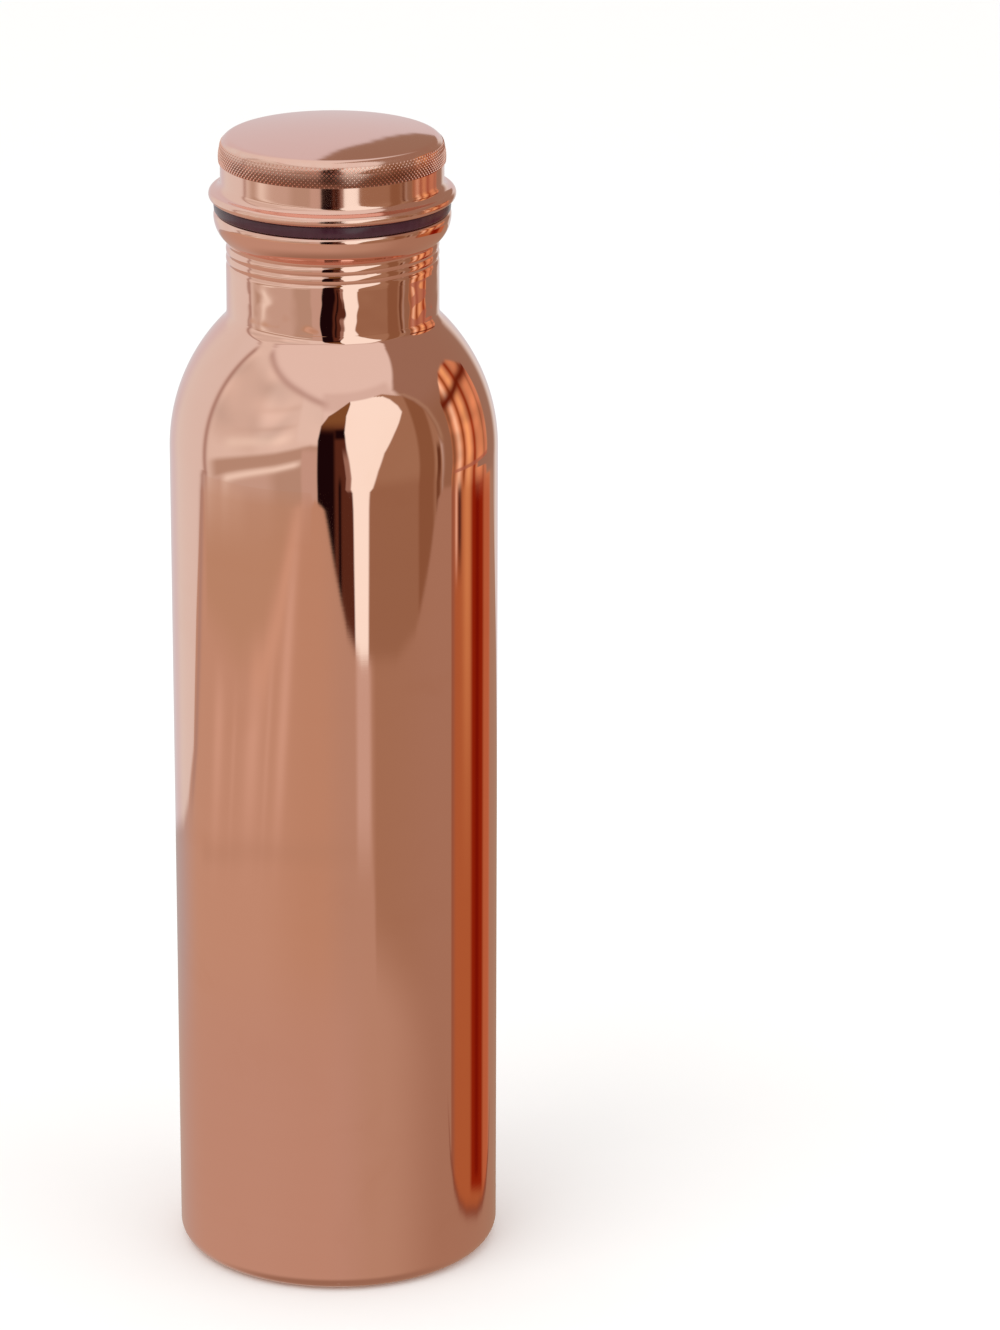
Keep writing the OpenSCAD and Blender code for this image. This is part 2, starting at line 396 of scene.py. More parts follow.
def shellPlaces(size):
    box = boxOf("body_shell")
    lipRadius = size["neckRadius"] + size["lipReach"]
    lipZ = box["top"] - size["lipEdge"]
    bulge = (size["lipHeight"] ** 2 + size["lipReach"] ** 2) / (2 * size["lipReach"])
    place = {"radius": box["radius"], "mouth": box["top"], "neckTop": lipZ - size["lipHeight"]}
    place["lipBulge"] = bulge
    place["bulge"] = (lipRadius - bulge, lipZ)
    place["lipEdge"] = (lipRadius - size["lipEdge"], lipZ)
    rootZ = place["neckTop"] - size["neckHeight"]
    place["root"] = (size["neckRadius"] + size["neckRootArc"], rootZ)
    shoulderX = box["radius"] - size["shoulderArc"]
    span = size["shoulderArc"] + size["neckRootArc"]
    place["shoulder"] = (shoulderX, rootZ - math.sqrt(span ** 2 - (place["root"][0] - shoulderX) ** 2))
    place["threadStart"] = place["neckTop"] - thread["drop"] - thread["neckTurns"] * thread["pitch"]
    return place


bottle = shellPlaces(shell)


def shellOutline(size, at):
    wall, neck = size["wall"], size["neckRadius"]
    bore, wallRadius = neck - wall, at["radius"] - wall
    footFlat = at["radius"] - size["footRound"]
    footHole = footFlat - size["footRing"]
    footCentre = (footFlat, size["footRound"])
    slope = bearing(at["shoulder"], at["root"])
    neckTop, mouthRound = at["neckTop"], size["mouthRound"]
    lowEnd = bearing(at["bulge"], (neck, neckTop))
    plainTop = at["threadStart"] - thread["foot"]
    threadRows = round((neckTop - plainTop) / thread["rowStep"])
    outside = (-thread["crease"], thread["creaseCrest"], thread["pitch"])
    within = (-thread["depth"], thread["crest"], thread["foot"])
    return [
        outerPart(line((footHole, 0), (footFlat, 0), 3)),
        outerPart(arc(footCentre, size["footRound"], -90, 0, 12)),
        outerPart(line((at["radius"], size["footRound"]), (at["radius"], at["shoulder"][1]), 48)),
        outerPart(arc(at["shoulder"], size["shoulderArc"], 0, slope, 40)),
        outerPart(arc(at["root"], size["neckRootArc"], 180 + slope, 180, 12)),
        outerPart(line((neck, at["root"][1]), (neck, plainTop), 8)),
        outerPart(line((neck, plainTop), (neck, neckTop), threadRows), outside),
        outerPart(arc(at["bulge"], at["lipBulge"], lowEnd, 0, 22)),
        outerPart(arc(at["lipEdge"], size["lipEdge"], 0, 90, 10)),
        outerPart(line((at["lipEdge"][0], at["mouth"]), (bore + mouthRound, at["mouth"]), 2)),
        outerPart(arc((bore + mouthRound, at["mouth"] - mouthRound), mouthRound, 90, 180, 6)),
        innerPart(line((bore, at["mouth"] - mouthRound), (bore, neckTop), 6), within),
        innerPart(line((bore, neckTop), (bore, plainTop), threadRows), within),
        innerPart(line((bore, plainTop), (bore, at["root"][1]), 6)),
        innerPart(arc(at["root"], size["neckRootArc"] + wall, 180, 180 + slope, 10)),
        innerPart(arc(at["shoulder"], size["shoulderArc"] - wall, slope, 0, 26)),
        innerPart(line((wallRadius, at["shoulder"][1]), (wallRadius, size["footRound"]), 24)),
        innerPart(arc(footCentre, size["footRound"] - wall, 0, -90, 8)),
        innerPart(line((footFlat, wall), (footHole, wall), 2)),
        outerPart(line((footHole, wall), (footHole, 0))),
    ]


plate = {"rim": 4.5, "rise": 3.0, "thick": 0.6, "segments": 160}


def plateOutline(size):
    box = boxOf("base_plate")
    low, edge = box["bottom"], box["radius"]
    pan, bend = edge - size["rim"], size["rise"] / 2
    corner = (pan - bend, low + bend + size["thick"])
    rimTop = low + size["thick"]
    return [
        outerPart(line((0, box["top"] - size["thick"]), (corner[0], box["top"] - size["thick"]), 16)),
        outerPart(arc(corner, bend - size["thick"], 90, 0, 8)),
        outerPart(line((pan - size["thick"], corner[1]), (pan - size["thick"], low), 3)),
        outerPart(line((pan - size["thick"], low), (edge, low), 3)),
        outerPart(line((edge, low), (edge, rimTop))),
        innerPart(line((edge, rimTop), (pan, rimTop), 3)),
        innerPart(line((pan, rimTop), (pan, corner[1]), 2)),
        innerPart(arc(corner, bend, 0, 90, 10)),
        innerPart(line((corner[0], box["top"]), (0, box["top"]), 16)),
    ]


seal = {"bore": 22.05, "round": 0.5, "crown": 0.06, "segments": 240}


def sealOutline(size):
    box = boxOf("seal_ring")
    low, high, edge = box["bottom"], box["top"], box["radius"]
    corner, middle = size["round"], (box["bottom"] + box["top"]) / 2
    half = middle - low - corner
    crownArc = (half ** 2 + size["crown"] ** 2) / (2 * size["crown"])
    lean = math.degrees(math.asin(half / crownArc))
    side = edge - size["crown"]
    return [
        outerPart(line((size["bore"], low), (side - corner, low), 3)),
        outerPart(arc((side - corner, low + corner), corner, -90, -lean, 7)),
        outerPart(arc((edge - crownArc, middle), crownArc, -lean, lean, 8)),
        outerPart(arc((side - corner, high - corner), corner, lean, 90, 7)),
        outerPart(line((side - corner, high), (size["bore"], high), 3)),
        outerPart(line((size["bore"], high), (size["bore"], low), 2)),
    ]


cap = {
    "wall": 0.6,
    "dome": 1.5,
    "edge": 2.6,
    "flangeReach": 2.6,
    "flangeEdge": 1.15,
    "flangeHollow": 2.0,
    "gripDrop": 7.4,
    "gripHeight": 3.6,
    "gripProud": 0.2,
    "segments": 256,
}


def capPlaces(size):
    box = boxOf("cap_shell")
    radius = box["radius"] - size["flangeReach"]
    edgeX = radius - size["edge"]
    domeArc = (edgeX ** 2 + size["dome"] ** 2) / (2 * size["dome"])
    domeZ = box["top"] - domeArc
    flange = (box["radius"] - size["flangeEdge"], box["bottom"] + size["flangeEdge"])
    hollowX = radius + size["flangeHollow"]
    reach = size["flangeHollow"] + size["flangeEdge"]
    gripArc = ((size["gripHeight"] / 2) ** 2 + size["gripProud"] ** 2) / (2 * size["gripProud"])
    gripZ = box["top"] - size["gripDrop"] + size["gripHeight"] / 3
    return {
        "radius": radius, "bottom": box["bottom"], "top": box["top"],
        "domeArc": domeArc, "dome": (0, domeZ),
        "edge": (edgeX, domeZ + math.sqrt((domeArc - size["edge"]) ** 2 - edgeX ** 2)),
        "flange": flange,
        "hollow": (hollowX, flange[1] + math.sqrt(reach ** 2 - (hollowX - flange[0]) ** 2)),
        "gripArc": gripArc,
        "grip": (radius + size["gripProud"] - gripArc, gripZ),
    }


lid = capPlaces(cap)


def capOutline(size, at):
    rim = boxOf("threaded_plug")
    domeEnd = bearing(at["dome"], at["edge"])
    gripTop = math.degrees(math.acos((at["radius"] - at["grip"][0]) / at["gripArc"]))
    gripFoot = at["top"] - size["gripDrop"]
    gripLow = -math.degrees(math.asin((at["grip"][1] - gripFoot) / at["gripArc"]))
    hollowEnd = bearing(at["hollow"], at["flange"]) + 360
    inner = at["radius"] - size["wall"]
    gripTopZ = at["grip"][1] + at["gripArc"] * math.sin(math.radians(gripTop))
    return [
        outerPart(arc(at["dome"], at["domeArc"], 90, domeEnd, 28)),
        outerPart(arc(at["edge"], size["edge"], domeEnd, 0, 20)),
        outerPart(line((at["radius"], at["edge"][1]), (at["radius"], gripTopZ), 2)),
        outerPart(arc(at["grip"], at["gripArc"], gripTop, gripLow, 14)),
        outerPart(line((at["radius"], gripFoot), (at["radius"], at["hollow"][1]), 6)),
        outerPart(arc(at["hollow"], size["flangeHollow"], 180, hollowEnd, 16)),
        outerPart(arc(at["flange"], size["flangeEdge"], hollowEnd - 180, -90, 22)),
        outerPart(line((at["flange"][0], at["bottom"]), (rim["radius"], at["bottom"]))),
        innerPart(line((rim["radius"], at["bottom"]), (rim["radius"], rim["top"]))),
        innerPart(line((rim["radius"], rim["top"]), (inner, rim["top"]))),
        innerPart(line((inner, rim["top"]), (inner, at["edge"][1]), 4)),
        innerPart(arc(at["edge"], size["edge"] - size["wall"], 0, domeEnd, 8)),
        innerPart(arc(at["dome"], at["domeArc"] - size["wall"], domeEnd, 90, 12)),
    ]


plug = {"wall": 0.6, "rimWidth": 3.5, "round": 2.0, "segments": 240}


def plugOutline(size):
    box = boxOf("threaded_plug")
    floor, rimTop, rimRadius = box["bottom"], box["top"], box["radius"]
    seat = rimTop - size["wall"]
    radius = rimRadius - size["rimWidth"]
    corner = (radius - size["round"], floor + size["round"])
    rows = round((seat - corner[1]) / thread["rowStep"])
    ribbed = (thread["depth"], thread["crest"], thread["foot"])
    return [
        outerPart(line((0, floor), (corner[0], floor), 14)),
        outerPart(arc(corner, size["round"], -90, 0, 10)),
        outerPart(line((radius, corner[1]), (radius, seat), rows), ribbed),
        outerPart(line((radius, seat), (rimRadius, seat), 2)),
        outerPart(line((rimRadius, seat), (rimRadius, rimTop))),
        innerPart(line((rimRadius, rimTop), (radius - size["wall"], rimTop), 2)),
        innerPart(line((radius - size["wall"], rimTop), (radius - size["wall"], corner[1]), 8)),
        innerPart(arc(corner, size["round"] - size["wall"], 0, -90, 6)),
        innerPart(line((corner[0], floor + size["wall"]), (0, floor + size["wall"]), 10)),
    ]


# geometry nodes: turning an outline round the axis

def geometryNode(tree, kind, values, **settings):
    return addNode(tree, "GeometryNode" + kind, values, **settings).outputs[0]


def sampleRow(tree, outline, name, dataType, row):
    # reads one outline point's place, or one of its attributes, by its row number
    if name is None:
        source = tree.nodes.new("GeometryNodeInputPosition").outputs[0]
    else:
        source = geometryNode(tree, "InputNamedAttribute", {"Name": name}, data_type=dataType)
    node = addNode(tree, "GeometryNodeSampleIndex", {"Geometry": outline},
                   data_type=dataType, domain="POINT", clamp=True)
    tree.links.new(source, node.inputs["Value"])
    tree.links.new(row, node.inputs["Index"])
    return node.outputs[0]


def latheTree():
    tree, given, made = newGroup("turnOutline", "GeometryNodeTree", [
        ("Outline", geometrySocket, None), ("Segments", intSocket, 64),
        ("Thread start", floatSocket, 0.0), ("Thread turns", floatSocket, 0.0),
        ("Thread pitch", floatSocket, 0.002), ("Start angle", floatSocket, 0.0),
        ("Sharp angle", floatSocket, 0.6),
        ("Outside", materialSocket, None), ("Inside", materialSocket, None),
    ], [("Geometry", geometrySocket)])
    pitch = given["Thread pitch"]
    size = addNode(tree, "GeometryNodeAttributeDomainSize", {0: given["Outline"]})
    count = size.outputs["Point Count"]
    rows = calc(tree, "SUBTRACT", count, 1.0)
    grid = geometryNode(tree, "MeshGrid", {
        "Size X": rows, "Size Y": given["Segments"],
        "Vertices X": count, "Vertices Y": calc(tree, "ADD", given["Segments"], 1.0),
    })
    spot = splitAxes(tree, tree.nodes.new("GeometryNodeInputPosition").outputs[0])
    rowPlace = calc(tree, "MULTIPLY_ADD", rows, 0.5, spot["X"])

    # which faces are the inner wall, kept on the grid before it is turned
    innerRow = sampleRow(tree, given["Outline"], "innerRow", "FLOAT", calc(tree, "FLOOR", rowPlace))
    stored = {"Geometry": grid, "Name": "innerWall", "Value": innerRow}
    marked = geometryNode(tree, "StoreNamedAttribute", stored, data_type="FLOAT", domain="FACE")

    row = calc(tree, "ROUND", rowPlace)
    outline = splitAxes(tree, sampleRow(tree, given["Outline"], None, "FLOAT_VECTOR", row))
    shape = splitAxes(tree, sampleRow(tree, given["Outline"], "threadShape", "FLOAT_VECTOR", row))
    share = calc(tree, "ADD", calc(tree, "DIVIDE", spot["Y"], given["Segments"]), 0.5)
    angle = times(tree, share, math.tau)

    # distance of each point from the crest of the nearest turn, faded at both ends of the thread
    turned = calc(tree, "SUBTRACT", share, calc(tree, "DIVIDE", given["Start angle"], 360.0))
    above = calc(tree, "SUBTRACT", outline["Z"], given["Thread start"])
    height = calc(tree, "SUBTRACT", calc(tree, "DIVIDE", above, pitch), turned)
    nearest = calc(tree, "ROUND", height)
    off = times(tree, calc(tree, "ABSOLUTE", calc(tree, "SUBTRACT", height, nearest)), pitch)
    crest, foot = times(tree, shape["Y"], 0.5), times(tree, shape["Z"], 0.5)
    # a bead has straight flanks, and a crease has rounded lands on both sides
    bow = calc(tree, "MULTIPLY_ADD", calc(tree, "SIGN", shape["X"]), -0.5, 1.5)
    bead = calc(tree, "POWER", mapRange(tree, off, crest, foot, 1.0, 0.0), bow)
    run = calc(tree, "ADD", turned, nearest)
    left = calc(tree, "SUBTRACT", given["Thread turns"], run)
    fade = calc(tree, "MULTIPLY", calc(tree, "MINIMUM", run, left), thread["fadeShare"], clamp=True)
    radius = calc(tree, "ADD", outline["X"], times(tree, shape["X"], times(tree, bead, fade)))
    turnedPlace = joinAxes(tree, times(tree, radius, calc(tree, "COSINE", angle)),
                           times(tree, radius, calc(tree, "SINE", angle)), outline["Z"])
    solid = geometryNode(tree, "SetPosition", {"Geometry": marked, "Position": turnedPlace})
    solid = geometryNode(tree, "MergeByDistance", {"Geometry": solid, "Distance": weldDistance})

    # smooth all over but for the sharp bends
    solid = geometryNode(tree, "SetShadeSmooth", {"Geometry": solid, "Shade Smooth": True}, domain="FACE")
    bend = tree.nodes.new("GeometryNodeInputMeshEdgeAngle").outputs["Unsigned Angle"]
    sharp = addNode(tree, "FunctionNodeCompare", {0: bend, 1: given["Sharp angle"]},
                    data_type="FLOAT", operation="GREATER_THAN").outputs[0]
    creases = {"Geometry": solid, "Selection": sharp, "Shade Smooth": False}
    solid = geometryNode(tree, "SetShadeSmooth", creases, domain="EDGE")
    solid = geometryNode(tree, "RealizeInstances", {0: solid})
    solid = geometryNode(tree, "SetMaterial", {"Geometry": solid, "Material": given["Outside"]})
    innerWall = geometryNode(tree, "InputNamedAttribute", {"Name": "innerWall"}, data_type="FLOAT")
    isInner = addNode(tree, "FunctionNodeCompare", {0: innerWall, 1: 0.5},
                      data_type="FLOAT", operation="GREATER_THAN").outputs[0]
    inside = {"Geometry": solid, "Selection": isInner, "Material": given["Inside"]}
    tree.links.new(geometryNode(tree, "SetMaterial", inside), made["Geometry"])
    return tree


def knurlTree():
    # staggered rows of small four-sided studs that lean with the grip band's arc
    tree, given, made = newGroup("knurlBand", "GeometryNodeTree", [
        ("Cap", geometrySocket, None), ("Studs round", intSocket, 200), ("Rows", intSocket, 5),
        ("Row step", floatSocket, 0.0004), ("Lowest row", floatSocket, 0.25),
        ("Arc centre out", floatSocket, 0.02), ("Arc centre up", floatSocket, 0.256),
        ("Arc radius", floatSocket, 0.0044), ("Stud width", floatSocket, 0.0008),
        ("Stud height", floatSocket, 0.0002), ("Stud tip", floatSocket, 0.3),
        ("Material", materialSocket, None),
    ], [("Geometry", geometrySocket)])
    around, tall = given["Studs round"], given["Stud height"]
    points = geometryNode(tree, "Points", {"Count": times(tree, around, given["Rows"])})
    number = tree.nodes.new("GeometryNodeInputIndex").outputs[0]
    row = calc(tree, "FLOOR", calc(tree, "DIVIDE", number, around))
    column = calc(tree, "MODULO", number, around)
    column = calc(tree, "ADD", column, times(tree, calc(tree, "MODULO", row, 2.0), 0.5))  # staggered
    angle = times(tree, calc(tree, "DIVIDE", column, around), math.tau)
    cosine, sine = calc(tree, "COSINE", angle), calc(tree, "SINE", angle)
    height = calc(tree, "MULTIPLY_ADD", row, given["Row step"], given["Lowest row"])
    up = calc(tree, "SUBTRACT", height, given["Arc centre up"])
    arcSquare, upSquare = calc(tree, "POWER", given["Arc radius"], 2.0), calc(tree, "POWER", up, 2.0)
    out = calc(tree, "SQRT", calc(tree, "SUBTRACT", arcSquare, upSquare))
    radius = calc(tree, "ADD", given["Arc centre out"], out)
    place = joinAxes(tree, times(tree, radius, cosine), times(tree, radius, sine), height)
    lean = joinAxes(tree, times(tree, out, cosine), times(tree, out, sine), up)
    across = joinAxes(tree, times(tree, sine, -1.0), cosine, 0.0)
    placed = geometryNode(tree, "SetPosition", {"Geometry": points, "Position": place})
    halfWidth = times(tree, given["Stud width"], 0.5)
    stud = geometryNode(tree, "MeshCone", {
        "Vertices": 4, "Side Segments": 1, "Fill Segments": 1, "Radius Bottom": halfWidth,
        "Radius Top": times(tree, halfWidth, given["Stud tip"]), "Depth": times(tree, tall, 2.0),
    }, fill_type="NGON")
    # the cone grows up from its base, so half of it is sunk into the sheet
    drop = joinAxes(tree, 0.0, 0.0, times(tree, tall, -1.0))
    sunk = geometryNode(tree, "Transform", {"Geometry": stud, "Translation": drop})
    facing = addNode(tree, "FunctionNodeAxesToRotation", {"Primary Axis": lean, "Secondary Axis": across},
                     primary_axis="Z", secondary_axis="X").outputs[0]
    studs = geometryNode(tree, "InstanceOnPoints", {"Points": placed, "Instance": sunk, "Rotation": facing})
    studs = geometryNode(tree, "RealizeInstances", {0: studs})
    studs = geometryNode(tree, "SetMaterial", {"Geometry": studs, "Material": given["Material"]})
    joined = tree.nodes.new("GeometryNodeJoinGeometry")
    tree.links.new(studs, joined.inputs[0])
    tree.links.new(given["Cap"], joined.inputs[0])
    tree.links.new(joined.outputs[0], made["Geometry"])
    return tree


turnOutline = latheTree()
knurlBand = knurlTree()
print("node trees built")


def apart(first, second):
    return abs(first[0] - second[0]) + abs(first[1] - second[1])


def outlineObject(name, parts):
    places, inner, shapes = [], [], []
    for points, inside, shape in parts:
        for point in points:
            if places and apart(point, places[-1]) < samePlace:
                continue
            places.append(point)
            inner.append(float(inside))
            shapes.append(shape)
    first, last = places[0], places[-1]
    if first[0] > samePlace and apart(first, last) < samePlace:
        inner[-1] = inner[-2]
    mesh = bpy.data.meshes.new(name + "Outline")
    vertices = [(r * mm, 0, z * mm) for r, z in places]
    mesh.from_pydata(vertices, [(i, i + 1) for i in range(len(vertices) - 1)], [])
    mesh.attributes.new("innerRow", "FLOAT", "POINT").data.foreach_set("value", inner)
    shapeData = np.array(shapes, np.float32) * mm
    mesh.attributes.new("threadShape", "FLOAT_VECTOR", "POINT").data.foreach_set("vector", shapeData.ravel())
    piece = bpy.data.objects.new(name, mesh)
    scene.collection.objects.link(piece)
    return piece


def addTree(piece, tree, values):
    modifier = piece.modifiers.new(tree.name, "NODES")
    modifier.node_group = tree
    for item in tree.interface.items_tree:
        if item.item_type == "SOCKET" and item.in_out == "INPUT" and item.name in values:
            modifier[item.identifier] = values[item.name]


def settleMesh(piece):
    graph = bpy.context.evaluated_depsgraph_get()
    mesh = bpy.data.meshes.new_from_object(piece.evaluated_get(graph))
    piece.modifiers.clear()
    old, piece.data = piece.data, mesh
    bpy.data.meshes.remove(old)
    mesh.name = piece.name
    solid = bmesh.new()
    solid.from_mesh(mesh)
    bmesh.ops.recalc_face_normals(solid, faces=solid.faces)
    openEdges = sum(1 for edge in solid.edges if len(edge.link_faces) != 2)
    print(piece.name, len(solid.faces), "faces,", openEdges, "open edges,",
          round(solid.calc_volume() * 1e9, 1), "mm3")
    solid.to_mesh(mesh)
    solid.free()
    for leftover in ("innerWall", "innerRow", "threadShape"):
        if leftover in mesh.attributes:
            mesh.attributes.remove(mesh.attributes[leftover])


def turnPiece(name, parts, size, outside, inside, threadValues=None, extra=None):
    piece = outlineObject(name, parts)
    values = {"Segments": size["segments"], "Outside": outside, "Inside": inside}
    values.update(threadValues or {})
    addTree(piece, turnOutline, values)
    for tree, inputs in extra or []:
        addTree(piece, tree, inputs)
    settleMesh(piece)
    return piece


def threadInputs(start, turns):
    return {"Thread start": start * mm, "Thread turns": turns, "Thread pitch": thread["pitch"] * mm,
            "Start angle": thread["startAngle"]}


def placePiece(piece, body, node):
    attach(piece, body)
    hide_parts(node)


# the pieces

bodyLook = dict(polishedCopper, wornRims=[(0.4, 1.6), (bottle["mouth"] - 0.6, 0.9)],
                beaten=(bottle["root"][1], bottle["threadStart"], 160.0, 0.18))
bodyCopper = makeCopper("bodyCopper", bodyLook)
insideLook = dict(polishedCopper, colour=(0.86, 0.48, 0.36), rough=0.24, grainRough=0.12, markShare=0.55,
                  markColour=(0.55, 0.26, 0.17), markSpread=0.46, grainDepth=0.0008)
insideCopper = makeCopper("insideCopper", insideLook)
body = turnPiece("bottleShell", shellOutline(shell, bottle), shell, bodyCopper, insideCopper,
                 threadInputs(bottle["threadStart"], thread["neckTurns"]))
placePiece(body, "bottle", "body_shell")
print("bottle shell made")

plateLook = dict(polishedCopper, colour=(0.90, 0.54, 0.44), rough=0.20, grainRough=0.12, grainDepth=0.0006,
                 rings=1500.0, markShare=0.5, wornRims=[])
plateCopper = makeCopper("plateCopper", plateLook)
footPlate = turnPiece("footPlate", plateOutline(plate), plate, plateCopper, insideCopper)
placePiece(footPlate, "bottle", "base_plate")
print("foot plate made")

siliconeLook = {
    "colour": (0.036, 0.006, 0.014), "markColour": (0.075, 0.022, 0.038), "markShare": 0.7,
    "rough": 0.16, "smearRough": 0.12, "markSize": 120.0, "markSpread": 0.5,
    "waverSize": 160.0, "waverDepth": 0.01, "skinSize": 2400.0, "skinDepth": 0.002,
}
silicone = makeSilicone("silicone", siliconeLook)
ring = turnPiece("siliconeRing", sealOutline(seal), seal, silicone, silicone)
placePiece(ring, "seal", "seal_ring")
print("silicone ring made")

knurl = {
    "studsRound": 156,
    "bandRows": 6,
    "edgeRows": 3,
    "width": 0.80,
    "rowStep": 0.5,
    "height": 0.22,
    "tip": 0.35,
    "margin": 0.3,
    "edgeMargin": 0.05,
    "edgeShare": 0.6,  # the rows on the rounded edge are shallower
}
# valleyColour and valleyShare paint shade on the wall between the knurl's studs; valleyRough makes that metal
# duller
capLook = dict(polishedCopper, rough=0.095, waverDepth=0.008, satinAbove=0.80, satinRough=-0.045,
               wornRims=[(lid["flange"][1], 1.3), (lid["edge"][1] + 1.6, 1.0)],
               valley=(lid["top"] - cap["gripDrop"], lid["edge"][1] + 1.5, 3.0), valleyShare=0.85,
               valleyColour=(0.22, 0.085, 0.055), valleyRough=0.15)
capCopper = makeCopper("capCopper", capLook)
knurlCopper = makeCopper("knurlCopper", dict(polishedCopper, rough=0.13, waverDepth=0.0))


def knurlInputs(rows, lowest, centre, radius, height):
    return {
        "Studs round": knurl["studsRound"], "Rows": rows, "Row step": knurl["rowStep"] * mm,
        "Lowest row": lowest * mm, "Arc centre out": centre[0] * mm, "Arc centre up": centre[1] * mm,
        "Arc radius": radius * mm, "Stud width": knurl["width"] * mm, "Stud height": height * mm,
        "Stud tip": knurl["tip"], "Material": knurlCopper,
    }


bandFoot = lid["top"] - cap["gripDrop"] + knurl["margin"]
bandKnurl = knurlInputs(knurl["bandRows"], bandFoot, lid["grip"], lid["gripArc"], knurl["height"])
edgeFoot = lid["edge"][1] + knurl["edgeMargin"]
edgeKnurl = knurlInputs(knurl["edgeRows"], edgeFoot, lid["edge"], cap["edge"],
                        knurl["height"] * knurl["edgeShare"])
capPiece = turnPiece("capShell", capOutline(cap, lid), cap, capCopper, insideCopper,
                     extra=[(knurlBand, bandKnurl), (knurlBand, edgeKnurl)])
placePiece(capPiece, "cap", "cap_shell")
print("cap made")

plugLook = dict(polishedCopper, colour=(0.92, 0.56, 0.46), rough=0.13, grainRough=0.08, grainDepth=0.0004,
                wornRims=[])
plugCopper = makeCopper("plugCopper", plugLook)
plugStart = bottle["threadStart"] + thread["pitch"] / 2
plugPiece = turnPiece("plugCup", plugOutline(plug), plug, plugCopper, insideCopper,
                      threadInputs(plugStart, thread["plugTurns"]))
placePiece(plugPiece, "cap", "threaded_plug")
print("plug made")


# studio: pale floor, soft lights, and a light tent that only the gloss sees

tent = {
    "radius": 40.0,
    "columns": 720,
    "rowSpans": [(-89.5, -26, 1.0), (-26, -14, 0.05), (-14, 89.6, 0.5)],  # degrees up, and the step
    "ceiling": (0.80, 0.80, 0.75),
    "cloth": (0.76, 0.75, 0.68),
    "clothShade": (0.655, 0.61, 0.535),
    "clothTan": (0.485, 0.395, 0.31),
    "clothBright": (0.86, 0.89, 0.80),
    "seam": (0.46, 0.365, 0.325),
    "backWall": (0.69, 0.66, 0.68),
    "sideCard": (0.75, 0.77, 0.73),
    "rightWall": (0.335, 0.222, 0.16),
    "rightShade": (0.29, 0.17, 0.095),
    "table": (0.56, 0.405, 0.295),
    "tableRight": (0.39, 0.25, 0.16),
    "tableBack": (0.49, 0.43, 0.41),
    "window": (1.03, 1.16, 1.09),
    "figure": (0.011, 0.003, 0.004),
    "figureSide": (0.10, 0.033, 0.018),
    "figureTop": (0.22, 0.11, 0.04),
    "room": (0.37, 0.24, 0.15),
    "roomDark": (0.265, 0.14, 0.072),
    "roomEdge": (0.14, 0.055, 0.025),
}

# centre, width and colour of each upright stripe of the warm ware beside the bottle
warmStripes = [
    (94, 2.2, (0.33, 0.15, 0.07)), (99.5, 2.2, (0.90, 0.66, 0.45)), (105, 1.8, (0.30, 0.08, 0.02)),
    (110.5, 2.4, (0.85, 0.48, 0.22)), (117.5, 2.4, (0.33, 0.05, 0.01)), (125, 3.6, (0.82, 0.38, 0.19)),
    (131.5, 1.6, (0.42, 0.18, 0.09)), (134, 1.6, (0.58, 0.25, 0.14)),
]


def sine(degrees):
    return np.sin(np.radians(degrees))


def ramp(value, low, high):
    share = np.clip((value - low) / (high - low), 0, 1)
    return share * share * (3 - 2 * share)


def between(value, low, high, soft):
    return ramp(value, low - soft / 2, low + soft / 2) * (1 - ramp(value, high - soft / 2, high + soft / 2))


def curve(value, stops):
    return np.interp(value, [stop[0] for stop in stops], [stop[1] for stop in stops])


def streak(value, width):
    return np.exp(-(value / width) ** 2)


def paint(colours, mask, colour):
    return colours + np.asarray(mask)[..., None] * (np.asarray(colour) - colours)


def paintCloth(around, above):
    # the pale cloth on the left, with its long slanting folds
    slope = above - curve(around, [(-100, -13), (-60, -2.5), (-40, 2.5), (-15, 10)])
    bend = sine(around * 5.3) + 0.5 * sine(around * 11 - above * 6)
    wisps = sine(slope * 15 + 70 * bend) * (0.55 + 0.45 * sine(around * 7 + above * 3))
    cloth = np.zeros(around.shape + (3,)) + tent["cloth"]
    shade = between(around, -96, -56, 12) * between(above, 2, 42, 10)
    cloth = paint(cloth, shade * 0.75, tent["clothShade"])
    cloth = paint(cloth, 0.5 * streak(slope - 27, 2.2) * between(around, -60, -25, 12), tent["clothShade"])
    cloth = paint(cloth, 0.6 * streak(slope - 16, 1.6) * between(around, -75, -28, 12), tent["clothShade"])
    cloth = paint(cloth, 0.7 * streak(slope - 9.5, 3) * between(around, -80, -30, 14), tent["clothBright"])
    cloth = cloth * (1 + 0.11 * wisps[..., None] * between(above, 8, 50, 10)[..., None])
    cloth = paint(cloth, between(slope, -6, 2, 3.5) * ramp(around, -100, -86), tent["clothTan"])
    low = 1 - ramp(slope, -7.5, -4)
    cloth = paint(cloth, low, (0.58, 0.50, 0.42))
    cloth = paint(cloth, low * ramp(around, -48, -36), tent["clothTan"])
    cloth = paint(cloth, streak(slope + 7.5, 1.9) * between(around, -82, -22, 10), tent["clothBright"])
    cloth = paint(cloth, between(around, -21, -7, 3) * (1 - ramp(above, 6, 12)), (0.57, 0.465, 0.39))
    return paint(cloth, 0.6 * between(around, -25, -7, 4) * ramp(above, 10, 16), (0.82, 0.84, 0.78))


